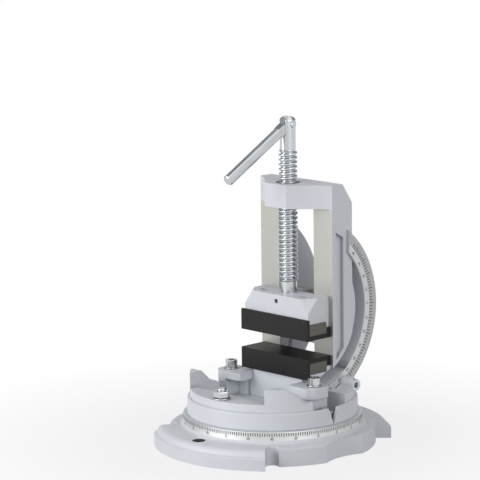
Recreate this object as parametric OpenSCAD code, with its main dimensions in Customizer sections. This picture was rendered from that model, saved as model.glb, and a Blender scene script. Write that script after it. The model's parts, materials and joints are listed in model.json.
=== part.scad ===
// Tilting and swivelling drill press vise, 100 mm jaws.
// Frame: +Z up, origin on the bench under the swivel axis, jaws along X, millimetres.
// The vise stands upright as it rests: the bed faces -Y and the screw points up.
// Pieces of the vise are drawn lying flat (x across the jaws, y along the screw, z up
// from the bed) and stood up by in_vise(), about the tilt axis.

/* [Jaws] */
// Width of the jaws
jaw_w = 100; // [90:1:102]
// Height of the jaws above the bed
jaw_h = 34.8; // [30:0.2:38]
// Opening between the jaws as the vise rests
opening = 19.5; // [5:0.5:60]
// Thickness of the steel block behind each jaw cover
block_t = 12; // [9:0.5:12]

/* [Vise body] */
// Width across the two bed rails
bed_w = 107; // [104:1:110]
// Width of the open slot between the rails
slot_w = 52; // [46:1:56]
// Depth of the bed below its top
bed_t = 30; // [26:1:31]
// From the fixed jaw face to the inner face of the yoke
yoke_y = 156.5; // [152:0.5:160]
// Thickness of the yoke along the screw
yoke_t = 25.2; // [20:0.2:28]
// Height of the yoke above the bed
yoke_h = 30.2; // [26:0.2:33]

/* [Screw and handle] */
// Thread outside diameter
screw_d = 20; // [18:0.5:21]
// Height of the screw axis above the bed
screw_h = 11.5; // [11:0.5:13]
// Thread pitch
pitch = 5; // [4:0.5:6]
// Diameter of the handle bar
bar_d = 11.6; // [10:0.2:12]
// Length of the handle from its pivot
bar_l = 102; // [80:1:104]
// Fall of the resting handle below square to the screw
bar_fall = 30; // [20:1:31]

/* [Tilt sector] */
// Height of the tilt axis above the bench
tilt_z = 144; // [142:1:150]
// Outer radius of the tilt rim
rim_r = 102.2; // [100:0.2:103]
// Radial width of the rim
rim_w = 18.2; // [17:0.2:19]
// Half width over the rim faces
rim_x = 56; // [55:0.5:57]
// Half width of the two webs inside the rim
web_x = 37; // [35:0.5:38]

/* [Swivel base] */
// Radius of the base wings
base_r = 127; // [122:1:132]
// Radius of the collar that carries the swivel scale
collar_r = 95.5; // [94:0.5:97]
// Height of the collar, where the table turns
collar_z = 33; // [32:0.5:35]
// Radius of the lower wall of the swivel table
table_r = 91; // [90:0.5:92]
// Spacing of the two base bolt holes
base_bolt_spacing = 216; // [212:1:220]
// Diameter of the base bolt holes
base_hole_d = 11; // [9:0.5:13]

/* [Fits] */
// Running clearance on a radius
run = 0.05; // [0.03:0.01:0.1]
// Gap between faces that slide past each other
gap = 0.3; // [0.2:0.05:0.4]

/* [Hidden] */
$fn = 72;
e = 1;
// Place of the tilt axis in the flat vise drawing
arc_y = 49;
arc_z = 38;
shoulder_r = rim_r - rim_w;
inner_r = shoulder_r - 10.5;
trough_r = rim_r + gap;
trough_x = rim_x + gap;
bed_x = bed_w / 2;
slot_x = slot_w / 2;
lip_t = 12;
web_in_x = slot_x + 4;
jaw_top = jaw_h - 3.8;
cover_t = 5;
cover_l = 22.4;
foot_h = 6;
foot_l = 11;
block_back = cover_t + block_t;
rim_end_z = jaw_h - 0.6;
yoke_back = yoke_y + yoke_t;
screw_r = screw_d / 2;
root_r = screw_r - 2.2;
journal_r = 8.5;
neck_r = 6.3;
jaw_back = opening + 43.5;
neck_y = jaw_back - 7;
pivot_y = yoke_back + 62;
thread_from = jaw_back + 12;
thread_to = pivot_y - 27;
pin_r = 2.5;
fork_x = 4.1;
// Depth of the fork below the handle pivot
fork_l = 12;
bolt_x = trough_x + 6.3;
ear_x = trough_x + 12.7;
ear_y = 13;
ear_z = 58;
stud_x = table_r - 12.5;
stud_r = 5;
pocket_z = collar_z + 3;
pocket_y = 24;
pocket_r = table_r - 3;
crease_z = 51;
lip_z = 60;
horn_z = 76;
horn_r = 88;
lock_y = 54;
lock_z = 63;
lock_seat = trough_x + 7.7;
clamp_top = tilt_z - inner_r - 1;
toe_r = shoulder_r - gap;
spigot_r = 20;
slot_neck = 5.4;
slot_wide = 9.5;
slot_floor = 10;
slot_roof = 20;
plateau_z = 20;
wing_z = 12;
// Lift of the moving jaw off the bed, and of its keeper plate below the rails
slide_z = 0.1;
keeper_gap = 0.2;
keeper_t = 8;
keeper_front = 14;
screw_hole_u = 30;
screw_hole_z = 18;

casting = "#c6cad1";
machined = "#bdbbb4";
black_oxide = "#2b2829";
block_grey = "#5a5955";
zinc = "#c9cfd1";

// Stands a flat-drawn vise piece up at the tilt axis
module in_vise() {
    translate([0, arc_z, tilt_z - arc_y]) rotate([90, 0, 0]) children();
}

// A copy on each side of the plane x = 0
module both_sides() {
    children();
    mirror([1, 0, 0]) children();
}

// A cylinder along x about the tilt axis of the flat drawing
module tilt_disc(r, x0, x1) {
    translate([x0, arc_y, arc_z]) rotate([0, 90, 0]) cylinder(r = r, h = x1 - x0, $fn = 180);
}

// A prism along x with a profile of [y, z] points
module side_prism(points, x0, x1) {
    translate([x0, 0, 0]) rotate([90, 0, 90]) linear_extrude(x1 - x0) polygon(points);
}

// A hexagon socket head screw pointing along -z, head seat at z = 0
module socket_screw(r, len, head_r, head_h, key) {
    difference() {
        union() {
            translate([0, 0, -len]) cylinder(r = r, h = len + head_h / 2);
            cylinder(r = head_r, h = head_h);
        }
        translate([0, 0, head_h * 0.45]) cylinder(d = key / cos(30), h = head_h, $fn = 6);
    }
}

// Base: collar, two bolt wings and the four notched lobes between them
module wing_outline() {
    intersection() {
        circle(r = base_r, $fn = 240);
        polygon([[0, 0], [200, 200], [-200, 200]]);
    }
}

module base_outline() {
    wing_outline();
    mirror([0, 1]) wing_outline();
    both_sides() difference() {
        intersection() {
            circle(r = base_r - 17, $fn = 240);
            polygon([[0, 0], [200, -200], [200, 200]]);
        }
        translate([base_r + 37, 0]) circle(r = 63, $fn = 180);
    }
}

module base_casting() {
    top_r = collar_r + 5;
    color(casting) difference() {
        union() {
            intersection() {
                linear_extrude(plateau_z + e) base_outline();
                rotate_extrude($fn = 240) polygon([[0, 0], [base_r, 0], [base_r, wing_z],
                    [base_r - 2, wing_z + 1.5], [top_r + 4, plateau_z], [0, plateau_z]]);
            }
            rotate_extrude($fn = 240) polygon([[0, 0], [top_r, 0], [top_r, plateau_z],
                [collar_r + 1.5, plateau_z + 2], [collar_r, plateau_z + 4], [collar_r, collar_z - 0.6],
                [collar_r - 0.6, collar_z], [0, collar_z]]);
        }
        // Annular slot for the heads of the swivel bolts
        rotate_extrude($fn = 240) translate([stud_x - slot_neck, slot_roof - e])
            square([2 * slot_neck, collar_z - slot_roof + 2 * e]);
        rotate_extrude($fn = 240) translate([stud_x - slot_wide, slot_floor])
            square([2 * slot_wide, slot_roof - slot_floor]);
        // Way in for the bolt heads, from below
        rotate([0, 0, 60]) translate([stud_x, 0, -e]) cylinder(r = 13, h = slot_floor + 2 * e);
        // Swivel bore
        translate([0, 0, -e]) cylinder(r = spigot_r + run, h = collar_z + 2 * e);
        // Four open notches for machine table bolts
        for (a = [45:90:315]) rotate([0, 0, a]) {
            translate([collar_r + 14, 0, -e]) cylinder(r = 7, h = 40);
            translate([collar_r + 14, -7, -e]) cube([40, 14, 40]);
        }
        // Two bolt holes, each in a sunk channel
        for (s = [-1, 1]) translate([0, s * base_bolt_spacing / 2, 0]) {
            translate([0, 0, -e]) cylinder(d = base_hole_d, h = 40);
            translate([-12, s > 0 ? -9 : -40, wing_z - 0.5]) cube([24, 49, 20]);
        }
        // Relief under the base
        translate([0, 0, -e]) difference() {
            cylinder(r = 63, h = e + 17);
            translate([0, 0, -e]) cylinder(r = 28, h = 30);
        }
    }
}

// Swivel table: the cradle in which the tilt rim turns
module table_solid() {
    rotate_extrude($fn = 240) polygon([[0, collar_z], [table_r - 1, collar_z], [table_r, collar_z + 1],
        [table_r, crease_z - 1.5], [table_r - 1, crease_z], [horn_r, crease_z + 0.5],
        [horn_r - 0.5, lip_z], [0, lip_z]]);
    translate([0, 0, collar_z - 15]) cylinder(r = spigot_r, h = 16);
}

// Walls beside the trough, in front of the swivel nut and behind it, with the lock screw boss
module cheek() {
    intersection() {
        translate([0, 0, crease_z - 5]) cylinder(r = horn_r - 0.3, h = 60, $fn = 240);
        union() {
            translate([trough_x, 0, 0]) rotate([90, 0, 90]) linear_extrude(40)
                polygon([[-90, 40], [-90, horn_z], [-50, horn_z], [-pocket_y, crease_z], [-pocket_y, 40]]);
            translate([trough_x, 0, 0]) rotate([90, 0, 90]) linear_extrude(40)
                polygon([[90, 40], [90, lip_z], [lock_y + 8, lock_z], [lock_y - 8, lock_z],
                    [pocket_y, crease_z], [pocket_y, 40]]);
            translate([trough_x, lock_y, lock_z]) rotate([0, 90, 0]) cylinder(r = 8, h = 40);
        }
    }
}

module nut_pocket() {
    intersection() {
        translate([trough_x - e, -pocket_y, pocket_z]) cube([60, 2 * pocket_y, 40]);
        cylinder(r = pocket_r, h = crease_z, $fn = 240);
    }
    translate([trough_x - e, -pocket_y, crease_z]) cube([60, 2 * pocket_y, 40]);
}

module swivel_table() {
    color(casting) difference() {
        union() {
            difference() {
                union() {
                    table_solid();
                    both_sides() cheek();
                }
                both_sides() nut_pocket();
            }
            both_sides() translate([trough_x - 2, -ear_y, collar_z + e])
                cube([ear_x - trough_x + 2, 2 * ear_y, ear_z - collar_z - e]);
        }
        // Trough for the rim
        translate([-trough_x, 0, tilt_z]) rotate([0, 90, 0])
            cylinder(r = trough_r, h = 2 * trough_x, $fn = 240);
        both_sides() {
            // Clamp bolt thread
            translate([bolt_x, 0, ear_z - 18]) cylinder(r = 4, h = 30);
            // Swivel bolt hole
            translate([stud_x, 0, collar_z - e]) cylinder(r = stud_r + 0.5, h = 10);
            // Index notch, its point at the swivel scale
            translate([pocket_r - 6, 0, 0]) rotate([90, 0, 90]) linear_extrude(20)
                polygon([[0, collar_z + 0.5], [7, crease_z + e], [-7, crease_z + e]]);
        }
        // Lock screw hole and its spot face
        translate([trough_x - e, lock_y, lock_z]) rotate([0, 90, 0]) cylinder(r = 4, h = 40);
        translate([lock_seat, lock_y, lock_z]) rotate([0, 90, 0]) cylinder(r = 7, h = 40);
    }
}

// Bolts that lock the swivel
module swivel_bolts() {
    color(zinc) both_sides() translate([stud_x, 0, 0]) {
        translate([0, 0, slot_roof - 7.9]) cylinder(r = stud_r, h = 37);
        translate([-8.5, -8.5, slot_roof - 7.9]) cube([17, 17, 7.8]);
    }
}

module swivel_washers() {
    color(zinc) both_sides() translate([stud_x, 0, pocket_z]) difference() {
        cylinder(r = 9.2, h = 2);
        translate([0, 0, -e]) cylinder(r = stud_r + 0.3, h = 4);
    }
}

module swivel_nuts() {
    color(zinc) both_sides() translate([stud_x, 0, pocket_z + 2]) difference() {
        intersection() {
            rotate([0, 0, 30]) cylinder(d = 16 / cos(30), h = 8.4, $fn = 6);
            rotate_extrude() polygon([[0, 0], [8.4, 0], [9.3, 0.8], [9.3, 7.4], [8, 8.4], [0, 8.4]]);
        }
        translate([0, 0, -e]) cylinder(r = stud_r, h = 12);
    }
}

// Clamp: the toe presses on the inner shoulder of the rim, the heel stands on the ear
module rim_clamp() {
    heel_x = bolt_x + 11.5;
    color(casting) difference() {
        translate([0, 0, ear_z]) linear_extrude(clamp_top - ear_z) polygon([[web_x + 0.5, -11],
            [web_x + 5, -15.5], [heel_x - 7, -15.5], [heel_x, -9], [heel_x, 9], [heel_x - 7, 15.5],
            [web_x + 5, 15.5], [web_x + 0.5, 11]]);
        // Hollow below the toe, round as the rim
        difference() {
            translate([0, -20, 0]) cube([trough_x + 0.2, 40, ear_z + 30]);
            translate([-e, 0, tilt_z]) rotate([0, 90, 0]) cylinder(r = toe_r, h = 80, $fn = 240);
        }
        translate([bolt_x, 0, 0]) cylinder(r = 4.4, h = 100);
    }
}

module right_rim_clamp() {
    rim_clamp();
}

module left_rim_clamp() {
    mirror([1, 0, 0]) rim_clamp();
}

module clamp_washers() {
    color(zinc) both_sides() translate([bolt_x, 0, clamp_top]) difference() {
        cylinder(r = 7.9, h = 1.6);
        translate([0, 0, -e]) cylinder(r = 4.3, h = 4);
    }
}

module clamp_bolts() {
    color(zinc) both_sides() translate([bolt_x, 0, clamp_top + 1.6])
        socket_screw(4, 26, 6.5, 8, 6);
}

module tilt_lock_screw() {
    color(zinc) translate([lock_seat, lock_y, lock_z]) rotate([0, 90, 0])
        socket_screw(4, 7.5, 6.5, 8, 6);
}

// Body of the vise, one casting: rails, yoke, fixed jaw, webs and tilt rim
module rails() {
    difference() {
        both_sides() translate([slot_x, -60, -bed_t]) cube([bed_x - slot_x, yoke_back + 60, bed_t]);
        // Undercut for the keeper plate, from the back of the fixed jaw to the yoke
        translate([-web_in_x, -block_back, -bed_t - e])
            cube([2 * web_in_x, yoke_y + block_back, bed_t - lip_t + e]);
    }
}

module yoke() {
    translate([0, yoke_back, 0]) rotate([90, 0, 0]) linear_extrude(yoke_t)
        polygon([[-bed_x, -bed_t], [bed_x, -bed_t], [bed_x, 0], [39, 8.5], [16, yoke_h],
            [-16, yoke_h], [-39, 8.5], [-bed_x, 0]]);
}

module fixed_jaw_wall() {
    translate([-jaw_w / 2, -60, -bed_t]) cube([jaw_w, 60 - block_back, bed_t + jaw_top]);
    translate([-jaw_w / 2, -60, -bed_t]) cube([jaw_w, 60 - foot_l, bed_t + foot_h]);
}

// The disc that carries webs and rim, without what lies above the bed on the screw side
module sector(r, x) {
    difference() {
        tilt_disc(r, -x, x);
        translate([-80, -18, -bed_t + 8]) cube([160, 300, 200]);
        translate([-80, -100, rim_end_z]) cube([160, 200, 200]);
    }
}

module vise_casting() {
    difference() {
        union() {
            // Bed, yoke and fixed jaw inside the path of the clamps
            intersection() {
                union() {
                    rails();
                    fixed_jaw_wall();
                }
                union() {
                    tilt_disc(inner_r, -90, 90);
                    translate([-90, arc_y, -100]) cube([180, 300, 200]);
                }
            }
            intersection() {
                tilt_disc(inner_r, -bed_x + 1, bed_x - 1);
                translate([-90, -10, -60]) cube([180, 120, 40]);
            }
            yoke();
            // Webs
            sector(rim_r, web_x);
            // Rim
            difference() {
                sector(rim_r, rim_x);
                tilt_disc(shoulder_r, -90, 90);
            }
        }
        // Open slot between the rails and the webs
        translate([-slot_x, -block_back, -lip_t - e]) cube([2 * slot_x, yoke_y + block_back, 80]);
        translate([-web_in_x, -block_back, -120])
            cube([2 * web_in_x, yoke_y + block_back, 120 - lip_t]);
        difference() {
            translate([-web_in_x, -60, -120]) cube([2 * web_in_x, 60, 120 - bed_t + 12]);
            translate([-80, -36, -bed_t]) cube([160, 40, bed_t]);
        }
    }
}

module vise_body() {
    color(casting) in_vise() difference() {
        vise_casting();
        // Seat of the jaw block and cover
        translate([-60, -block_back, foot_h]) cube([120, block_back + e, 60]);
        translate([-60, -foot_l, 0]) cube([120, foot_l + e, 60]);
        translate([-60, -cover_l, jaw_top]) cube([120, cover_l + e, 60]);
        // The cross bar is a little lower than the two ends of the rim
        translate([-web_x - 6, -70, jaw_top - 1]) cube([2 * web_x + 12, 60, 20]);
        // Grooves along both sides of the bed
        both_sides() side_prism([[-5.5, -5.5], [131, -5.5], [125, -16.5], [6, -16.5]], bed_x - 4, bed_x + e);
        // Back chamfer of the yoke
        side_prism([[yoke_back + e, -15.5], [yoke_back + e, -bed_t - 2], [yoke_back - 22, -bed_t - 2],
            [yoke_back - 20, -bed_t + 0.6], [yoke_back, -16]], -80, 80);
        // Screw bore and its counterbore
        translate([0, yoke_y - e, screw_h]) rotate([-90, 0, 0])
            cylinder(r = screw_r + run, h = yoke_t + 2 * e);
        translate([0, yoke_back - 3, screw_h]) rotate([-90, 0, 0]) cylinder(r = 13, h = 10);
        // Holes for the screws of the fixed jaw
        for (x = [-screw_hole_u, screw_hole_u]) translate([x, 0, screw_hole_z]) rotate([90, 0, 0]) {
            cylinder(r = 3.3, h = 80);
            translate([0, 0, 31]) cylinder(r = 5.5, h = 60);
        }
    }
}

// Steel block of a jaw: face towards +y at y = 0
module jaw_block() {
    difference() {
        translate([-jaw_w / 2, -block_back, foot_h]) cube([jaw_w, block_t, jaw_top - foot_h]);
        for (x = [-screw_hole_u, screw_hole_u]) translate([x, e, screw_hole_z]) rotate([90, 0, 0])
            cylinder(r = 3.3, h = 30);
    }
}

// Cover of a jaw: clamping plate, top flange and foot in one piece, its foot at height z
module jaw_cover(z) {
    difference() {
        side_prism([[0, z], [0, jaw_h], [-cover_l, jaw_h], [-cover_l, jaw_top], [-cover_t, jaw_top],
            [-cover_t, foot_h], [-foot_l, foot_h], [-foot_l, z]], -jaw_w / 2, jaw_w / 2);
        for (x = [-screw_hole_u, screw_hole_u]) translate([x, -1, screw_hole_z]) rotate([90, 0, 0])
            cylinder(r = 3, h = 10);
    }
}

module jaw_screws() {
    for (x = [-screw_hole_u, screw_hole_u]) translate([x, -31, screw_hole_z]) rotate([90, 0, 0])
        socket_screw(3, 29.8, 5, 6, 5);
}

module fixed_jaw_block() {
    color(block_grey) in_vise() jaw_block();
}

module fixed_jaw_cover() {
    color(black_oxide) in_vise() jaw_cover(0);
}

module fixed_jaw_screws() {
    color(zinc) in_vise() jaw_screws();
}

// Faces the moving jaw: the same pieces turned round and set at the opening
module on_moving_jaw() {
    in_vise() translate([0, opening, 0]) mirror([0, 1, 0]) children();
}

module corner_cut() {
    translate([jaw_w / 2 - 2.6, jaw_back, 16.6]) rotate([0, 0, 37]) rotate([0, -32, 0])
        translate([0, -50, -50]) cube([40, 100, 100]);
}

module moving_jaw() {
    half = jaw_w / 2 - 2.5;
    color(casting) in_vise() difference() {
        union() {
            translate([-half, opening, slide_z])
                cube([2 * half, jaw_back - opening, jaw_top - slide_z]);
            translate([-slot_x + gap, opening + 4, -lip_t - keeper_gap])
                cube([slot_w - 2 * gap, jaw_back - opening - 8, lip_t + 2]);
        }
        translate([-60, opening - e, foot_h]) cube([120, block_back + e, 60]);
        translate([-60, opening - e, -0.5]) cube([120, foot_l + e, 60]);
        both_sides() corner_cut();
        // Bore for the front end of the screw, and the hole of the retaining screw
        translate([0, opening + block_back + 3, screw_h]) rotate([-90, 0, 0])
            cylinder(r = journal_r + run, h = 60);
        translate([0, neck_y, screw_h]) cylinder(r = 2.5, h = 40);
        // Holes for the screws of the moving jaw
        for (x = [-screw_hole_u, screw_hole_u]) translate([x, opening, screw_hole_z]) rotate([-90, 0, 0]) {
            cylinder(r = 3.3, h = 80);
            translate([0, 0, 31]) cylinder(r = 5.5, h = 60);
        }
        // Threads for the keeper screws
        for (y = [opening + 15, jaw_back - 11]) translate([0, y, -20]) cylinder(r = 3, h = 19);
    }
}

module moving_jaw_block() {
    color(block_grey) on_moving_jaw() jaw_block();
}

module moving_jaw_cover() {
    color(black_oxide) on_moving_jaw() jaw_cover(slide_z);
}

module moving_jaw_screws() {
    color(zinc) on_moving_jaw() jaw_screws();
}

module keeper_plate() {
    y0 = opening - keeper_front;
    color(machined) in_vise() difference() {
        translate([-web_in_x + 0.5, y0, -lip_t - keeper_gap - keeper_t])
            cube([2 * web_in_x - 1, jaw_back - y0, keeper_t]);
        for (y = [opening + 15, jaw_back - 11]) translate([0, y, -30]) {
            cylinder(r = 3.3, h = 30);
            cylinder(r = 5.5, h = 30 - lip_t - 4.2);
        }
    }
}

module keeper_screws() {
    color(zinc) in_vise() for (y = [opening + 15, jaw_back - 11])
        translate([0, y, -lip_t - 4.2]) rotate([180, 0, 0]) socket_screw(3, 14, 5, 3.8, 4);
}

module retaining_screw() {
    color(zinc) in_vise() difference() {
        translate([0, neck_y, screw_h + neck_r + 0.2]) cylinder(r = 2.5, h = jaw_top - screw_h - neck_r - 3);
        translate([0, neck_y, jaw_top - 6]) cylinder(d = 2.5 / cos(30), h = 10, $fn = 6);
    }
}

// Lead screw: journal in the moving jaw, thread as rings, fork for the handle
module lead_screw() {
    from = opening + block_back + 4;
    turns = floor((thread_to - thread_from) / pitch);
    color(zinc) in_vise() translate([0, 0, screw_h]) difference() {
        rotate([-90, 0, 0]) rotate_extrude() polygon(concat(
            [[0, from], [journal_r - 1, from], [journal_r, from + 1],
            [journal_r, neck_y - 3.2], [neck_r, neck_y - 3.2], [neck_r, neck_y + 3.2],
            [journal_r, neck_y + 3.2], [journal_r, thread_from]],
            [for (k = [0:turns - 1], p = [[root_r, 0], [screw_r, 0.25], [screw_r, 0.45], [root_r, 0.7]])
                [p[0], thread_from + (k + p[1]) * pitch]],
            [[journal_r, thread_from + turns * pitch], [journal_r, pivot_y + 4]],
            [for (a = [15:15:90]) [journal_r * cos(a), pivot_y + 4 + 5 * sin(a)]]));
        // Fork slot and pin hole
        translate([-fork_x, pivot_y - fork_l, -20]) cube([2 * fork_x, 40, 40]);
        translate([-20, pivot_y, 0]) rotate([0, 90, 0]) cylinder(r = pin_r, h = 40);
    }
}

module handle_pin() {
    color(zinc) in_vise() translate([0, pivot_y, screw_h]) rotate([0, 90, 0]) {
        translate([0, 0, -journal_r - 0.6]) cylinder(r = pin_r, h = 2 * journal_r + 1.2);
        translate([0, 0, journal_r - 0.1]) cylinder(r1 = 3.8, r2 = 3, h = 1.6);
    }
}

module handle() {
    tang_x = fork_x - 0.1;
    start = 14.5;
    color(zinc) in_vise() translate([0, pivot_y, screw_h]) rotate([bar_fall, 0, 0]) difference() {
        union() {
            // Round bar, its far edge broken
            rotate_extrude() polygon([[0, start], [bar_d / 2 - 1.5, start], [bar_d / 2, start + 1.5],
                [bar_d / 2, bar_l - 1], [bar_d / 2 - 1, bar_l], [0, bar_l]]);
            // Flat tang in the fork
            rotate([0, 90, 0]) translate([0, 0, -tang_x]) cylinder(r = 5.4, h = 2 * tang_x);
            translate([-tang_x, -5, 0]) cube([2 * tang_x, 10, start + 2]);
        }
        rotate([0, 90, 0]) translate([0, 0, -20]) cylinder(r = pin_r + run, h = 40);
    }
}

base_casting();
swivel_table();
swivel_bolts();
swivel_washers();
swivel_nuts();
left_rim_clamp();
right_rim_clamp();
clamp_bolts();
clamp_washers();
tilt_lock_screw();
vise_body();
fixed_jaw_block();
fixed_jaw_cover();
fixed_jaw_screws();
moving_jaw();
moving_jaw_block();
moving_jaw_cover();
moving_jaw_screws();
keeper_plate();
keeper_screws();
retaining_screw();
lead_screw();
handle_pin();
handle();
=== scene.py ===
import json
import math

import bmesh
import bpy
from mathutils import Matrix, Vector


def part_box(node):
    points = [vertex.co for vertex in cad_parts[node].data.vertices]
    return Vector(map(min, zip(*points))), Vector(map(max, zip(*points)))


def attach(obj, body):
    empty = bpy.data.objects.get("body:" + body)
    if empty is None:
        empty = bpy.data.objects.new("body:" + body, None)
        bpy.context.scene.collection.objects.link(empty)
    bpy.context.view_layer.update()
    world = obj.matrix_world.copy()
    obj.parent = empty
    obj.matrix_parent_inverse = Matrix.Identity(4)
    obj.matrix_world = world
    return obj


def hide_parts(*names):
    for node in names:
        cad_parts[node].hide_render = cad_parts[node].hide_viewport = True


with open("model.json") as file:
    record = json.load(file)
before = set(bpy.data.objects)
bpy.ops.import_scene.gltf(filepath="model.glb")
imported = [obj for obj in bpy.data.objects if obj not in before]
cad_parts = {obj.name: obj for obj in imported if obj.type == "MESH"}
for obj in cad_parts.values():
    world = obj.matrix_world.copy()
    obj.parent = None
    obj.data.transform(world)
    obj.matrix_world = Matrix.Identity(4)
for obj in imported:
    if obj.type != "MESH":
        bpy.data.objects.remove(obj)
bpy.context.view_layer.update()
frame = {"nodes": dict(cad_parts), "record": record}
MM = 0.001


# Base casting
# One grey iron casting under light grey enamel, its collar turned bright afterwards.
# The cast edges are soft, and the paint lies on them in a thin, faintly uneven skin.
def srgb(code):
    """Linear colour of a hex code such as "c6cad1"."""
    out = []
    for k in (0, 2, 4):
        c = int(code[k:k + 2], 16) / 255
        out.append(c / 12.92 if c <= 0.04045 else ((c + 0.055) / 1.055) ** 2.4)
    return (*out, 1.0)


def add(tree, kind, inputs=(), **settings):
    """A shader node with its settings, its inputs set to values or linked to other sockets."""
    made = tree.nodes.new(kind)
    for name, value in settings.items():
        setattr(made, name, value)
    for key, value in dict(inputs).items():
        if isinstance(value, bpy.types.NodeSocket):
            tree.links.new(value, made.inputs[key])
        else:
            made.inputs[key].default_value = value
    return made


def new_material(name, **values):
    """A named material: its tree, its shader, and the piece's own coordinates in metres."""
    mat = bpy.data.materials.new(name)
    mat.use_nodes = True
    tree = mat.node_tree
    shader = tree.nodes["Principled BSDF"]
    for key, value in values.items():
        shader.inputs[key.replace("_", " ")].default_value = value
    place = add(tree, "ShaderNodeTexCoord").outputs["Object"]
    return mat, tree, shader, place


def between(tree, value, low, high):
    """1 where the value lies between two limits, else 0."""
    above = add(tree, "ShaderNodeMath", {0: value, 1: low}, operation="GREATER_THAN")
    below = add(tree, "ShaderNodeMath", {0: value, 1: high}, operation="LESS_THAN")
    both = add(tree, "ShaderNodeMath", {0: above.outputs[0], 1: below.outputs[0]}, operation="MULTIPLY")
    return both.outputs[0]


def distance(tree, a, b):
    """Length of the flat vector (a, b)."""
    flat = add(tree, "ShaderNodeCombineXYZ", {0: a, 1: b, 2: 0.0})
    return add(tree, "ShaderNodeVectorMath", {0: flat.outputs[0]}, operation="LENGTH").outputs["Value"]


ENAMEL = "cccfd5"
ENAMEL_SHADE = "c3c6cc"
# Grey of the painted shade in corners and grooves.
CORNER_PAINTED_SHADE = "86888d"
TURNED = "c4c6c5"
TURNED_DARK = "a9abab"


def in_corners(tree, colour, dark, reach, own_shape=True):
    """The colour, turned towards the dark one by ambient occlusion in corners and grooves, and also near other pieces
    unless own_shape: painted shade.
    """
    # Painted shade: ambient occlusion darkens the colour where corners and close pieces shut out light.
    corner = add(tree, "ShaderNodeAmbientOcclusion", {"Distance": reach}, samples=8, only_local=own_shape)
    unshaded_share = add(tree, "ShaderNodeMapRange", {"Value": corner.outputs["AO"], 1: 0.2, 2: 0.85})
    mixed = add(tree, "ShaderNodeMix", {"Factor": unshaded_share.outputs[0], 6: srgb(dark), 7: colour}, data_type="RGBA")
    return mixed.outputs[2]


def enamel_coat(tree, place):
    """Enamel over a casting: colour with painted shade in its corners and grooves, and the bump of paint over sand-cast
    iron.
    """
    cloud = add(tree, "ShaderNodeTexNoise", {"Vector": place, "Scale": 28.0, "Detail": 3.0})
    colour = add(tree, "ShaderNodeMix", {"Factor": cloud.outputs[0], 6: srgb(ENAMEL_SHADE), 7: srgb(ENAMEL)},
                 data_type="RGBA")
    grain = add(tree, "ShaderNodeTexNoise", {"Vector": place, "Scale": 700.0, "Detail": 2.0})
    peel = add(tree, "ShaderNodeTexNoise", {"Vector": place, "Scale": 180.0, "Detail": 1.0})
    rough = add(tree, "ShaderNodeBump", {"Height": grain.outputs[0], "Strength": 0.25, "Distance": 0.00012})
    skin = add(tree, "ShaderNodeBump", {"Height": peel.outputs[0], "Strength": 0.3, "Distance": 0.00025,
                                        "Normal": rough.outputs[0]})
    # Painted shade: the enamel turns dark grey within 7 mm of its own corners and grooves.
    return in_corners(tree, colour.outputs[2], CORNER_PAINTED_SHADE, 7 * MM), skin.outputs[0]


def bare_metal(tree, lines, light, dark):
    """Tool lines that run across the value lines, 0.35 mm apart, on bare metal."""
    streak = add(tree, "ShaderNodeTexNoise", {"W": lines, "Scale": 2800.0, "Detail": 3.0},
                 noise_dimensions="1D")
    colour = add(tree, "ShaderNodeMix", {"Factor": streak.outputs[0], 6: srgb(dark), 7: srgb(light)},
                 data_type="RGBA")
    cut = add(tree, "ShaderNodeBump", {"Height": streak.outputs[0], "Strength": 0.3, "Distance": 0.00008})
    return colour.outputs[2], cut.outputs[0]


def coat_with_bare_faces(name, bare_mask_and_lines, light=TURNED, dark=TURNED_DARK):
    """Enamel that leaves machined faces bare where the mask is 1."""
    mat, tree, shader, place = new_material(name)
    axes = add(tree, "ShaderNodeSeparateXYZ", {0: place}).outputs
    mask, lines = bare_mask_and_lines(tree, axes)
    paint, skin = enamel_coat(tree, place)
    metal, cut = bare_metal(tree, lines, light, dark)
    colour = add(tree, "ShaderNodeMix", {"Factor": mask, 6: paint, 7: metal}, data_type="RGBA")
    normal = add(tree, "ShaderNodeMix", {"Factor": mask, 4: skin, 5: cut}, data_type="VECTOR")
    sheen = add(tree, "ShaderNodeMapRange", {"Value": mask, 3: 0.48, 4: 0.38})
    metallic = add(tree, "ShaderNodeMath", {0: mask, 1: 0.75}, operation="MULTIPLY")
    tree.links.new(colour.outputs[2], shader.inputs["Base Color"])
    tree.links.new(normal.outputs[1], shader.inputs["Normal"])
    tree.links.new(sheen.outputs[0], shader.inputs["Roughness"])
    tree.links.new(metallic.outputs[0], shader.inputs["Metallic"])
    return mat


def dress(name, material, edge, angle=38.0, segments=3):
    """Gives a CAD piece its material and breaks its sharp edges to that radius in mm."""
    piece = frame["nodes"][name]
    for s in piece.material_slots:
        s.material = material
    weld = piece.modifiers.new("weld", "WELD")
    weld.merge_threshold = 0.00001
    flat = piece.modifiers.new("flat", "DECIMATE")
    flat.decimate_type = "DISSOLVE"
    flat.angle_limit = math.radians(0.4)
    if edge:
        soft = piece.modifiers.new("soft", "BEVEL")
        soft.width = edge * MM
        soft.segments = segments
        soft.limit_method = "ANGLE"
        soft.angle_limit = math.radians(angle)
        soft.use_clamp_overlap = True
        soft.harden_normals = False
        soft.miter_outer = "MITER_ARC"
    even = piece.modifiers.new("even", "WEIGHTED_NORMAL")
    even.keep_sharp = True
    for p in piece.data.polygons:
        p.use_smooth = True
    return piece


collar_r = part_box("swivel_table")[1][0] + 4.5 * MM
collar_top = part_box("base_casting")[1][2]
scale_low = collar_top - 9.0 * MM


def collar_band(tree, axes):
    r = distance(tree, axes[0], axes[1])
    on_band = add(tree, "ShaderNodeMath", {0: between(tree, axes[2], scale_low, collar_top + MM),
                                           1: between(tree, r, collar_r - 2 * MM, collar_r + MM)},
                  operation="MULTIPLY")
    return on_band.outputs[0], axes[2]


base_coat = coat_with_bare_faces("enamelled_iron_base", collar_band, "dcdddc", "c6c8c8")
dress("base_casting", base_coat, 1.1)


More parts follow.
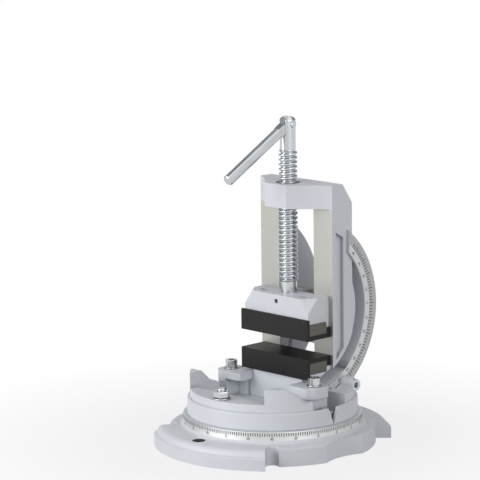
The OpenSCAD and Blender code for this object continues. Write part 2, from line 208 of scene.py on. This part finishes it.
# Bolt wings
# The flat top of each wing stands above the flange at its rim, with a rounded step between
# them. It is part of the casting. A plain hole for a table bolt goes down through it.
def new_mesh(name, verts, faces, material, body, slot, smooth=False):
    """A piece made from points in the row frame, riding on a body."""
    mesh = bpy.data.meshes.new(name)
    mesh.from_pydata(verts, [], faces)
    mesh.update()
    for p in mesh.polygons:
        p.use_smooth = smooth
    piece = bpy.data.objects.new(name, mesh)
    bpy.context.scene.collection.objects.link(piece)
    mesh.materials.append(material)
    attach(piece, body)
    return piece


def cutter(name, verts, faces):
    mesh = bpy.data.meshes.new(name)
    mesh.from_pydata(verts, [], faces)
    piece = bpy.data.objects.new(name, mesh)
    bpy.context.scene.collection.objects.link(piece)
    return piece


def cut_away(piece, tools):
    """Cuts the tools' solids out of a piece for good."""
    for tool in tools:
        cut = piece.modifiers.new("cut", "BOOLEAN")
        cut.operation = "DIFFERENCE"
        cut.solver = "EXACT"
        cut.object = tool
    bpy.context.view_layer.update()
    shaped = bpy.data.meshes.new_from_object(piece.evaluated_get(bpy.context.evaluated_depsgraph_get()))
    piece.modifiers.clear()
    piece.data = shaped
    for tool in tools:
        bpy.data.objects.remove(tool)


def block(low, high):
    """Points and faces of a box."""
    verts = [(x, y, z) for z in (low[2], high[2]) for y in (low[1], high[1]) for x in (low[0], high[0])]
    faces = [(0, 2, 3, 1), (4, 5, 7, 6), (0, 1, 5, 4), (1, 3, 7, 5), (3, 2, 6, 7), (2, 0, 4, 6)]
    return verts, faces


def stacked_rounds(centre, steps, around, first_turn=0.0):
    """Points and faces of rounds or hexes on one upright axis, from (height, radius) steps."""
    verts = [(centre[0] + r * math.cos(2 * math.pi * k / around + first_turn),
              centre[1] + r * math.sin(2 * math.pi * k / around + first_turn), z)
             for z, r in steps for k in range(around)]
    faces = [tuple(range(around))[::-1], tuple(range((len(steps) - 1) * around, len(steps) * around))]
    for j in range(len(steps) - 1):
        for k in range(around):
            n = (k + 1) % around
            faces.append((j * around + k, j * around + n, (j + 1) * around + n, (j + 1) * around + k))
    return verts, faces


def soften(piece, edge, angle=35.0):
    """Breaks the piece's sharp edges to that radius in mm, with even shading over its faces."""
    soft = piece.modifiers.new("soft", "BEVEL")
    soft.width = edge * MM
    soft.segments = 2
    soft.limit_method = "ANGLE"
    soft.angle_limit = math.radians(angle)
    piece.modifiers.new("even", "WEIGHTED_NORMAL").keep_sharp = True


# The bolt holes' walls are bare drilled iron, made nearly black as painted shade down the holes.
drilled_painted_shade, drilled_tree, drilled_shader, drilled_place = new_material("drilled_iron_with_painted_hole_shade", Metallic=0.4, Roughness=0.5)
hole_shade_colour, drilled_cut = bare_metal(drilled_tree, add(drilled_tree, "ShaderNodeSeparateXYZ",
                                                           {0: drilled_place}).outputs[2], "3c3d3f", "242527")
drilled_tree.links.new(hole_shade_colour, drilled_shader.inputs["Base Color"])
drilled_tree.links.new(drilled_cut, drilled_shader.inputs["Normal"])
wing_section = [(97.5, 9), (126.8, 9), (126.8, 12.25), (125, 13.7), (123.7, 13.9), (122.9, 15.6), (121.8, 17.6), (120.2, 19.1), (118, 20),
                (115.4, 20.3), (97.5, 20.3)]
for side, middle_angle in (("front", -90), ("back", 90)):
    verts, faces = [], []
    steps = 90
    for k in range(steps + 1):
        a = math.radians(middle_angle - 45 + 90 * k / steps)
        verts += [(r * MM * math.cos(a), r * MM * math.sin(a), z * MM) for r, z in wing_section]
    n = len(wing_section)
    for k in range(steps):
        for j in range(n):
            m = (j + 1) % n
            faces.append((k * n + j, k * n + m, (k + 1) * n + m, (k + 1) * n + j))
    faces += [tuple(range(n))[::-1], tuple(range(steps * n, steps * n + n))]
    wing = new_mesh(f"wing_top_{side}", verts, faces, base_coat, "base", "casting", smooth=True)
    hole_y = math.copysign(108 * MM, middle_angle)
    tools = [cutter("hole", *stacked_rounds((0, hole_y), [(0, 5.5 * MM), (18.6 * MM, 5.5 * MM), (20.6 * MM, 7.2 * MM),
                                                      (0.04, 7.2 * MM)], 48))]
    for turn in (middle_angle - 45, middle_angle + 45):
        a = math.radians(turn)
        c, w = math.cos(a), math.sin(a)
        tools.append(cutter("notch", *stacked_rounds((109.5 * MM * c, 109.5 * MM * w), [(0, 7.15 * MM), (0.04, 7.15 * MM)], 48)))
        corners, sides = block((109.5 * MM, -7.15 * MM, 0), (0.14, 7.15 * MM, 0.04))
        tools.append(cutter("notch", [(c * x - w * y, w * x + c * y, z) for x, y, z in corners], sides))
    cut_away(wing, tools)
    wing.data.materials.append(drilled_painted_shade)
    for p in wing.data.polygons:
        p.use_smooth = True
        if math.hypot(p.center.x, p.center.y - hole_y) < 7.3 * MM and abs(p.normal.z) < 0.9:
            # The hole's upright walls get the near-black painted shade.
            p.material_index = 1
    soften(wing, 0.8)


# Swivel scale
# Degree marks and plain numbers cut in the turned collar and filled with dark paint.
# Ten marks lie between two numbers, the middle one longer, and the numbers are 15 degrees apart.
def digits(text, height):
    """Flat faces of a number, centred on the origin, as points and faces."""
    curve = bpy.data.curves.new("number", "FONT")
    curve.body = text
    curve.size = height / 0.72
    curve.align_x = "CENTER"
    curve.align_y = "CENTER"
    curve.resolution_u = 2
    curve.offset = height * 0.02
    carrier = bpy.data.objects.new("number", curve)
    mesh = carrier.to_mesh()
    points = [v.co.copy() for v in mesh.vertices]
    faces = [list(p.vertices) for p in mesh.polygons]
    carrier.to_mesh_clear()
    bpy.data.objects.remove(carrier)
    bpy.data.curves.remove(curve)
    return points, faces


def engraving(marks, numbers, place):
    """All marks (along, low, high, width) and numbers (along, text, middle, height) of one scale.
    place(along, across) puts a point of the flat scale on the real surface."""
    verts, faces = [], []
    for along, low, high, width in marks:
        k = len(verts)
        for a, b in ((-1, low), (1, low), (1, high), (-1, high)):
            verts.append(place(along + a * width / 2, b))
        faces.append((k, k + 1, k + 2, k + 3))
    for along, text, middle, height in numbers:
        k = len(verts)
        points, loops = digits(text, height)
        verts += [place(along + p.x, middle + p.y) for p in points]
        faces += [[k + i for i in loop] for loop in loops]
    return verts, faces


ink, ink_tree, ink_shader, ink_place = new_material("dark_filled_engraving", Roughness=0.6)
ink_grain = add(ink_tree, "ShaderNodeTexNoise", {"Vector": ink_place, "Scale": 900.0, "Detail": 2.0})
ink_colour = add(ink_tree, "ShaderNodeMix", {"Factor": ink_grain.outputs[0], 6: srgb("191b1d"), 7: srgb("2c2f32")},
                 data_type="RGBA")
ink_tree.links.new(ink_colour.outputs[2], ink_shader.inputs["Base Color"])
proud = 0.04 * MM


def on_collar(along, up):
    a = along / collar_r
    r = collar_r + proud
    return (r * math.cos(a), r * math.sin(a), collar_top + up)


degree = math.pi / 180 * collar_r
swivel_marks = []
swivel_numbers = []
for k in range(240):
    length = 5.0 if k % 10 == 0 else 4.4 if k % 5 == 0 else 3.5
    swivel_marks.append((1.5 * k * degree, (-0.9 - length) * MM, -0.9 * MM, 0.85 * MM))
for d in range(0, 360, 15):
    shown = d % 90 if (d // 90) % 2 == 0 else 90 - d % 90
    swivel_numbers.append((d * degree, str(shown), -7.4 * MM, 2.6 * MM))
new_mesh("swivel_scale", *engraving(swivel_marks, swivel_numbers, on_collar), ink, "base", "black_cover")


# Swivel table
# One enamelled iron casting: a low drum with a deep round trough across it.
# The horns beside the trough carry the clamps and the lock screw.
enamel, enamel_tree, enamel_shader, enamel_place = new_material("enamelled_cast_iron", Roughness=0.48)
coat, skin = enamel_coat(enamel_tree, enamel_place)
enamel_tree.links.new(coat, enamel_shader.inputs["Base Color"])
enamel_tree.links.new(skin, enamel_shader.inputs["Normal"])
dress("swivel_table", enamel, 1.4)
dress("left_rim_clamp", enamel, 0.9)
dress("right_rim_clamp", enamel, 0.9)


# Bolts, nuts and washers
# Turned and rolled steel under bright zinc plate, which shows every edge as a light line.
def zinc_plate(name, own_shape):
    """Bright zinc: a faint cloud in the gloss, and painted shade in dark grey in its corners and, unless own_shape,
    near other pieces.
    """
    mat, tree, shader, place = new_material(name, Metallic=1.0)
    cloud = add(tree, "ShaderNodeTexNoise", {"Vector": place, "Scale": 40.0, "Detail": 1.0})
    gloss = add(tree, "ShaderNodeMapRange", {"Value": cloud.outputs[0], 3: 0.19, 4: 0.27})
    tone = add(tree, "ShaderNodeMix", {"Factor": cloud.outputs[0], 6: srgb("bbbfc2"), 7: srgb("cdd0d2")},
               data_type="RGBA")
    # Painted shade: the zinc turns dark grey within 3 mm of corners and close pieces.
    tree.links.new(in_corners(tree, tone.outputs[2], "4b4d50", 3 * MM, own_shape), shader.inputs["Base Color"])
    tree.links.new(gloss.outputs[0], shader.inputs["Roughness"])
    return mat


zinc = zinc_plate("bright_zinc_plated_steel", False)
for name in ("swivel_bolts", "swivel_washers", "swivel_nuts", "clamp_washers", "clamp_bolts",
             "tilt_lock_screw", "fixed_jaw_screws", "moving_jaw_screws", "keeper_screws",
             "retaining_screw", "handle_pin"):
    dress(name, zinc, 0.3, segments=2)


# Lip nuts
# A stud stands in the front and the back lip of the table, with a plain washer and a hex nut
# of zinc plated steel. They draw the table down beside the two swivel bolts.
lip_top = 60 * MM


for side, where in (("front", (4 * MM, -78 * MM)), ("back", (-4 * MM, 78 * MM))):
    nut_low = lip_top + 1.8 * MM
    nut_r = 15.5 * MM / 2 / math.cos(math.pi / 6)
    for part, steps, around in (
            ("washer", [(lip_top, 9.6 * MM), (nut_low, 9.6 * MM)], 48),
            ("nut", [(nut_low, nut_r - 0.7 * MM), (nut_low + 0.6 * MM, nut_r), (nut_low + 6.6 * MM, nut_r),
                     (nut_low + 7.2 * MM, nut_r - 0.9 * MM)], 6),
            ("stud", [(lip_top, 4.8 * MM), (lip_top + 11 * MM, 4.8 * MM), (lip_top + 12 * MM, 3.9 * MM)], 32)):
        soften(new_mesh(f"lip_{part}_{side}", *stacked_rounds(where, steps, around), zinc, "table", "zinc",
                        smooth=True), 0.35)


# Vise body
# One casting: bed, yoke, fixed jaw, two webs and the tilt rim. The rail tops are milled,
# and the rim is turned bright on its faces and its outside.
tilt_z = frame["record"]["behaviour"]["joints"][1]["pos_m"][2]
rim_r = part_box("vise_body")[1][1]
rim_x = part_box("vise_body")[1][0]
shoulder_r = rim_r - 18.2 * MM
rail_y = 38 * MM
yoke_low = 249.6 * MM


def rails_and_rim(tree, axes):
    up = add(tree, "ShaderNodeMath", {0: axes[2], 1: tilt_z}, operation="SUBTRACT").outputs[0]
    r = distance(tree, axes[1], up)
    side = add(tree, "ShaderNodeMath", {0: axes[0]}, operation="ABSOLUTE").outputs[0]
    rail_face = between(tree, axes[1], rail_y - 0.15 * MM, rail_y + 0.15 * MM)
    rail = add(tree, "ShaderNodeMath", {0: rail_face, 1: between(tree, axes[2], 0.0, yoke_low)},
               operation="MULTIPLY").outputs[0]
    rim_face = add(tree, "ShaderNodeMath", {0: between(tree, side, rim_x - 0.15 * MM, rim_x + MM),
                                            1: between(tree, r, shoulder_r, rim_r + MM)},
                   operation="MULTIPLY").outputs[0]
    facing = add(tree, "ShaderNodeSeparateXYZ", {0: add(tree, "ShaderNodeNewGeometry").outputs["Normal"]}).outputs
    outside = add(tree, "ShaderNodeMath", {0: between(tree, r, rim_r - 0.12 * MM, rim_r + MM),
                                           1: between(tree, facing[0], -0.4, 0.4)},
                  operation="MULTIPLY").outputs[0]
    some = add(tree, "ShaderNodeMath", {0: rail, 1: rim_face}, operation="MAXIMUM").outputs[0]
    mask = add(tree, "ShaderNodeMath", {0: some, 1: outside}, operation="MAXIMUM").outputs[0]
    lines = add(tree, "ShaderNodeMix", {"Factor": rim_face, 2: axes[2], 3: r}, data_type="FLOAT")
    return mask, lines.outputs[0]


dress("vise_body", coat_with_bare_faces("enamelled_iron_vise", rails_and_rim, "b2b2ad", "9f9e99"), 1.3)


# Tilt scale
# Both faces of the rim carry degree marks and plain numbers on a ground strip,
# which is lighter than the turned iron outside it.
strip, strip_tree, strip_shader, strip_place = new_material("ground_scale_strip", Metallic=0.6, Roughness=0.4)
strip_axes = add(strip_tree, "ShaderNodeSeparateXYZ", {0: strip_place}).outputs
strip_up = add(strip_tree, "ShaderNodeMath", {0: strip_axes[2], 1: tilt_z}, operation="SUBTRACT").outputs[0]
strip_colour, strip_cut = bare_metal(strip_tree, distance(strip_tree, strip_axes[1], strip_up),
                                     "d6d8d8", "c5c7c8")
strip_tree.links.new(strip_colour, strip_shader.inputs["Base Color"])
strip_tree.links.new(strip_cut, strip_shader.inputs["Normal"])
band, band_tree, band_shader, band_place = new_material("turned_rim_iron", Metallic=0.8, Roughness=0.4)
band_axes = add(band_tree, "ShaderNodeSeparateXYZ", {0: band_place}).outputs
band_up = add(band_tree, "ShaderNodeMath", {0: band_axes[2], 1: tilt_z}, operation="SUBTRACT").outputs[0]
band_colour, band_cut = bare_metal(band_tree, distance(band_tree, band_axes[1], band_up), "b6b8bb", "a0a2a6")
band_tree.links.new(band_colour, band_shader.inputs["Base Color"])
band_tree.links.new(band_cut, band_shader.inputs["Normal"])

number_r = 88.2 * MM
mark_r = 92.0 * MM
band_r = 91.6 * MM
arc_low = -86.0
rim_end_y = 61.5 * MM


def ring_sector(r_low, r_high, x, sign):
    """A thin flat band on a rim face, between two radii, up to the upright end of the rim."""
    verts, faces = [], []
    steps = 90
    for k in range(steps + 1):
        for r in (r_low, r_high):
            end = math.degrees(math.acos(rim_end_y / r))
            a = math.radians(arc_low + (end - arc_low) * k / steps)
            verts.append((sign * x, r * math.cos(a), tilt_z + r * math.sin(a)))
    for k in range(steps):
        quad = (2 * k, 2 * k + 1, 2 * k + 3, 2 * k + 2)
        faces.append(quad if sign > 0 else quad[::-1])
    return verts, faces


for side, sign in (("right", 1), ("left", -1)):
    new_mesh(f"tilt_strip_{side}", *ring_sector(shoulder_r + 0.9 * MM, mark_r - 0.5 * MM, rim_x + 0.02 * MM, sign),
             strip, "vise", "machined_iron")
    new_mesh(f"tilt_band_{side}", *ring_sector(band_r, rim_r - 1.2 * MM, rim_x + 0.02 * MM, sign),
             band, "vise", "machined_iron")

    def on_rim(along, across, sign=sign):
        a = -sign * along / number_r
        r = number_r - sign * 0 + across
        return (sign * (rim_x + 0.09 * MM), r * math.cos(a), tilt_z + r * math.sin(a))

    marks, numbers = [], []
    step = math.radians(1) * number_r
    for d in range(-84, 46, 2):
        length = 5.8 if d % 10 == 0 else 4.4
        marks.append((-sign * d * step, mark_r - number_r + 0.1 * MM, mark_r - number_r + length * MM, 0.85 * MM))
    for k in range(13):
        numbers.append((-sign * (-79.6 + 10 * k) * step, str(abs(90 - 10 * (k + 1))), 0.0, 2.9 * MM))
    new_mesh(f"tilt_scale_{side}", *engraving(marks, numbers, on_rim), ink, "vise", "black_cover")


# Jaws
# Each jaw is a cast or bolted steel block with a pressed cover over it, blackened and oiled.
# The oil leaves a soft satin shine, and the steel below stays dull.
black, black_tree, black_shader, black_place = new_material("black_oxide_steel", Specular_IOR_Level=0.22)
oil = add(black_tree, "ShaderNodeTexNoise", {"Vector": black_place, "Scale": 60.0, "Detail": 4.0})
oil_gloss = add(black_tree, "ShaderNodeMapRange", {"Value": oil.outputs[0], 3: 0.36, 4: 0.5})
oxide = add(black_tree, "ShaderNodeMix", {"Factor": oil.outputs[0], 6: srgb("141212"), 7: srgb("1e1b1b")},
            data_type="RGBA")
oxide_grain = add(black_tree, "ShaderNodeTexNoise", {"Vector": black_place, "Scale": 900.0, "Detail": 2.0})
oxide_bump = add(black_tree, "ShaderNodeBump", {"Height": oxide_grain.outputs[0], "Strength": 0.2,
                                                "Distance": 0.0001})
black_tree.links.new(oxide.outputs[2], black_shader.inputs["Base Color"])
black_tree.links.new(oil_gloss.outputs[0], black_shader.inputs["Roughness"])
black_tree.links.new(oxide_bump.outputs[0], black_shader.inputs["Normal"])
dress("fixed_jaw_cover", black, 0.7)
dress("moving_jaw_cover", black, 0.7)

ground, ground_tree, ground_shader, ground_place = new_material("ground_dark_steel", Metallic=0.5, Roughness=0.5)
ground_axes = add(ground_tree, "ShaderNodeSeparateXYZ", {0: ground_place}).outputs
ground_colour, ground_cut = bare_metal(ground_tree, ground_axes[2], "66655f", "53524d")
ground_tree.links.new(ground_colour, ground_shader.inputs["Base Color"])
ground_tree.links.new(ground_cut, ground_shader.inputs["Normal"])
dress("fixed_jaw_block", ground, 0.5)
dress("moving_jaw_block", ground, 0.5)
dress("moving_jaw", enamel, 1.3)

milled, milled_tree, milled_shader, milled_place = new_material("milled_bare_iron", Metallic=0.7, Roughness=0.4)
milled_axes = add(milled_tree, "ShaderNodeSeparateXYZ", {0: milled_place}).outputs
milled_colour, milled_cut = bare_metal(milled_tree, milled_axes[2], "b4b3ae", "98978f")
milled_tree.links.new(milled_colour, milled_shader.inputs["Base Color"])
milled_tree.links.new(milled_cut, milled_shader.inputs["Normal"])
dress("keeper_plate", milled, 0.4)


# Lead screw
# A bar of bright steel with a rolled trapezoid thread of 5 mm pitch, turned down to a
# journal in the moving jaw. The top end is plain, domed and slotted into a fork.
screw_low, screw_high = (Vector(c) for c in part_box("lead_screw"))
screw_y = (screw_low.y + screw_high.y) / 2
pin_z = (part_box("handle_pin")[0][2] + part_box("handle_pin")[1][2]) / 2
crest = (screw_high.x - screw_low.x) / 2 * 0.999
root = crest - 2.2 * MM
plain = 8.5 * MM
pitch = 5 * MM
thread_low = screw_low.z + 34.5 * MM
thread_high = pin_z - 27 * MM


def thread_radius(z, turn):
    """Radius of the thread at a height and a part of a turn: crest, flanks and root."""
    phase = (z / pitch - turn) % 1.0
    rise = min(max((phase - 0.18) / 0.16, 0), 1) - min(max((phase - 0.66) / 0.16, 0), 1)
    rise = rise * rise * (3 - 2 * rise)
    fade = min(max((z - thread_low) / pitch, 0), 1) * min(max((thread_high - z) / pitch, 0), 1)
    return plain + (root + (crest - root) * rise - plain) * min(1, fade * 2)


def lathe(rows, around, radius):
    """A closed round bar: rows of heights, and the radius at each height and part of a turn."""
    verts, faces = [], []
    for z in rows:
        for k in range(around):
            r = radius(z, k / around)
            a = 2 * math.pi * k / around
            verts.append((r * math.cos(a), screw_y + r * math.sin(a), z))
    for j in range(len(rows) - 1):
        for k in range(around):
            n = (k + 1) % around
            faces.append((j * around + k, j * around + n, (j + 1) * around + n, (j + 1) * around + k))
    faces.append(tuple(range(around))[::-1])
    last = (len(rows) - 1) * around
    faces.append(tuple(range(last, last + around)))
    return verts, faces


screw_zinc = zinc_plate("bright_zinc_plated_screw", True)
thread_rows = [thread_low + (thread_high - thread_low) * k / 420 for k in range(421)]
thread = new_mesh("lead_screw_thread", *lathe(thread_rows, 72, thread_radius), screw_zinc, "screw", "zinc", smooth=True)

journal_end = screw_low.z
neck_low = thread_low - 22.2 * MM
neck_high = thread_low - 15.8 * MM
journal_steps = [(journal_end, plain - MM), (journal_end + MM, plain), (neck_low, plain), (neck_low, 6.3 * MM),
                 (neck_high, 6.3 * MM), (neck_high, plain), (thread_low + 0.2 * MM, plain)]


def turned(name, steps, around=64):
    """A turned piece on the screw's axis from steps of (height, radius)."""
    verts, faces = [], []
    for z, r in steps:
        for k in range(around):
            a = 2 * math.pi * k / around
            verts.append((r * math.cos(a), screw_y + r * math.sin(a), z))
    for j in range(len(steps) - 1):
        for k in range(around):
            n = (k + 1) % around
            faces.append((j * around + k, j * around + n, (j + 1) * around + n, (j + 1) * around + k))
    faces.append(tuple(range(around))[::-1])
    last = (len(steps) - 1) * around
    faces.append(tuple(range(last, last + around)))
    return new_mesh(name, verts, faces, screw_zinc, "screw", "zinc", smooth=True)


def keep_edges(piece, edge=0.0):
    """Smooth shading that stops at the real edges."""
    if edge:
        soft = piece.modifiers.new("soft", "BEVEL")
        soft.width = edge * MM
        soft.segments = 2
        soft.limit_method = "ANGLE"
        soft.angle_limit = math.radians(40)
    piece.modifiers.new("even", "WEIGHTED_NORMAL").keep_sharp = True


journal = turned("lead_screw_journal", journal_steps)
keep_edges(journal, 0.3)
dome_low = pin_z + 4 * MM
dome = [(dome_low + 5 * MM * math.sin(math.radians(a)), plain * math.cos(math.radians(a))) for a in range(0, 86, 5)]
fork = turned("lead_screw_fork", [(thread_high - 0.2 * MM, plain)] + dome)


fork_half = 4.1 * MM
slot_tool = cutter("fork_slot", *block((-fork_half, screw_y - 0.02, pin_z - 12 * MM), (fork_half, screw_y + 0.02, pin_z + 0.03)))
cut_away(fork, [slot_tool])
keep_edges(fork, 0.25)
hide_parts("lead_screw")


# Handle
# A bright steel bar with a flat tang that folds in the fork on a riveted pin.
dress("handle", screw_zinc, 0.5)


# Floor, lamps and camera
# A plain white studio sweep under broad soft lamps, seen through a long lens.
floor_mesh = bpy.data.meshes.new("floor")
floor_mesh.from_pydata([(-6, -6, 0), (6, -6, 0), (6, 6, 0), (-6, 6, 0)], [], [(0, 1, 2, 3)])
floor = bpy.data.objects.new("floor", floor_mesh)
bpy.context.scene.collection.objects.link(floor)
floor.location.z = -0.02 * MM
paper, paper_tree, paper_shader, paper_place = new_material("white_paper_sweep", Base_Color=srgb("a6a6a6"),
                                                            Roughness=0.9)
ray = add(paper_tree, "ShaderNodeLightPath").outputs
glow = add(paper_tree, "ShaderNodeEmission", {"Color": (1, 1, 1, 1), "Strength": 1.0})
away = distance(paper_tree, *add(paper_tree, "ShaderNodeSeparateXYZ", {0: paper_place}).outputs[:2])
fade = add(paper_tree, "ShaderNodeMapRange", {"Value": away, 1: 0.16, 2: 0.42, 3: 0.82, 4: 1.0})
shown = add(paper_tree, "ShaderNodeMath", {0: ray["Is Camera Ray"], 1: ray["Is Glossy Ray"]}, operation="MAXIMUM")
shown = add(paper_tree, "ShaderNodeMath", {0: shown.outputs[0], 1: ray["Is Transmission Ray"]},
            operation="MAXIMUM")
seen = add(paper_tree, "ShaderNodeMath", {0: fade.outputs[0], 1: shown.outputs[0]}, operation="MULTIPLY")
paper_mix = add(paper_tree, "ShaderNodeMixShader", {0: seen.outputs[0], 1: paper_shader.outputs[0],
                                                    2: glow.outputs[0]})
paper_tree.links.new(paper_mix.outputs[0], paper_tree.nodes["Material Output"].inputs["Surface"])
floor_mesh.materials.append(paper)

world = bpy.data.worlds.new("studio")
bpy.context.scene.world = world
world.use_nodes = True
sky = world.node_tree
sky.nodes.clear()
sky_ray = add(sky, "ShaderNodeLightPath").outputs
direct = add(sky, "ShaderNodeMath", {0: sky_ray["Is Camera Ray"], 1: sky_ray["Is Transmission Ray"]},
             operation="MAXIMUM")
way = add(sky, "ShaderNodeTexCoord").outputs["Generated"]
ahead = add(sky, "ShaderNodeVectorMath", {0: way, 1: (0.72, -0.69, 0.0)}, operation="DOT_PRODUCT").outputs["Value"]
wall_front = add(sky, "ShaderNodeMapRange", {"Value": ahead, 1: -0.12, 2: 0.05, 3: 0.26, 4: 0.92},
                 interpolation_type="SMOOTHSTEP")
wall_back = add(sky, "ShaderNodeMapRange", {"Value": ahead, 1: -0.75, 2: -0.92, 3: 0.28, 4: 0.75},
                interpolation_type="SMOOTHSTEP")
walls = add(sky, "ShaderNodeMath", {0: wall_front.outputs[0], 1: wall_back.outputs[0]}, operation="MAXIMUM")
height = add(sky, "ShaderNodeSeparateXYZ", {0: way}).outputs[2]
soft_room = add(sky, "ShaderNodeMapRange", {"Value": height, 1: 0.0, 2: 1.0, 3: 0.62, 4: 0.22})
room = add(sky, "ShaderNodeMix", {"Factor": sky_ray["Is Glossy Ray"], 6: soft_room.outputs[0],
                                  7: walls.outputs[0]}, data_type="RGBA")
tint = add(sky, "ShaderNodeMix", {"Factor": direct.outputs[0], 6: room.outputs[2], 7: (1, 1, 1, 1)},
           data_type="RGBA")
air = add(sky, "ShaderNodeBackground", {"Color": tint.outputs[2], "Strength": 1.0})
out = add(sky, "ShaderNodeOutputWorld", {"Surface": air.outputs[0]})


def lamp(name, place, target, size, watts):
    """A square soft lamp that faces a target."""
    data = bpy.data.lights.new(name, "AREA")
    data.shape = "SQUARE"
    data.size = size
    data.energy = watts
    made = bpy.data.objects.new(name, data)
    bpy.context.scene.collection.objects.link(made)
    made.location = place
    made.rotation_euler = (Vector(target) - Vector(place)).to_track_quat("-Z", "Y").to_euler()
    return made


middle = (0, 0, 0.15)
lamp("key", (-0.75, -2.0, 0.85), (0, 0, 0.34), 1.7, 41)
lamp("fill", (1.9, -0.4, 0.9), middle, 1.2, 15)
lamp("top", (0.1, 0.6, 2.0), middle, 1.2, 5)

look_at = Vector((-0.0010, -0.0441, 0.2236))
azimuth, elevation, roll = (math.radians(a) for a in (46.18, 10.22, -0.7))
away_from = Vector((math.sin(azimuth) * math.cos(elevation), -math.cos(azimuth) * math.cos(elevation),
                    math.sin(elevation)))
camera_data = bpy.data.cameras.new("camera")
camera_data.lens = 2629 / 480 * 36
camera = bpy.data.objects.new("camera", camera_data)
bpy.context.scene.collection.objects.link(camera)
camera.location = look_at + away_from * 2.744
turn = (-away_from).to_track_quat("-Z", "Y").to_matrix() @ Matrix.Rotation(roll, 3, "Z")
camera.rotation_euler = turn.to_euler()
bpy.context.scene.camera = camera
bpy.context.scene.view_settings.view_transform = "Standard"
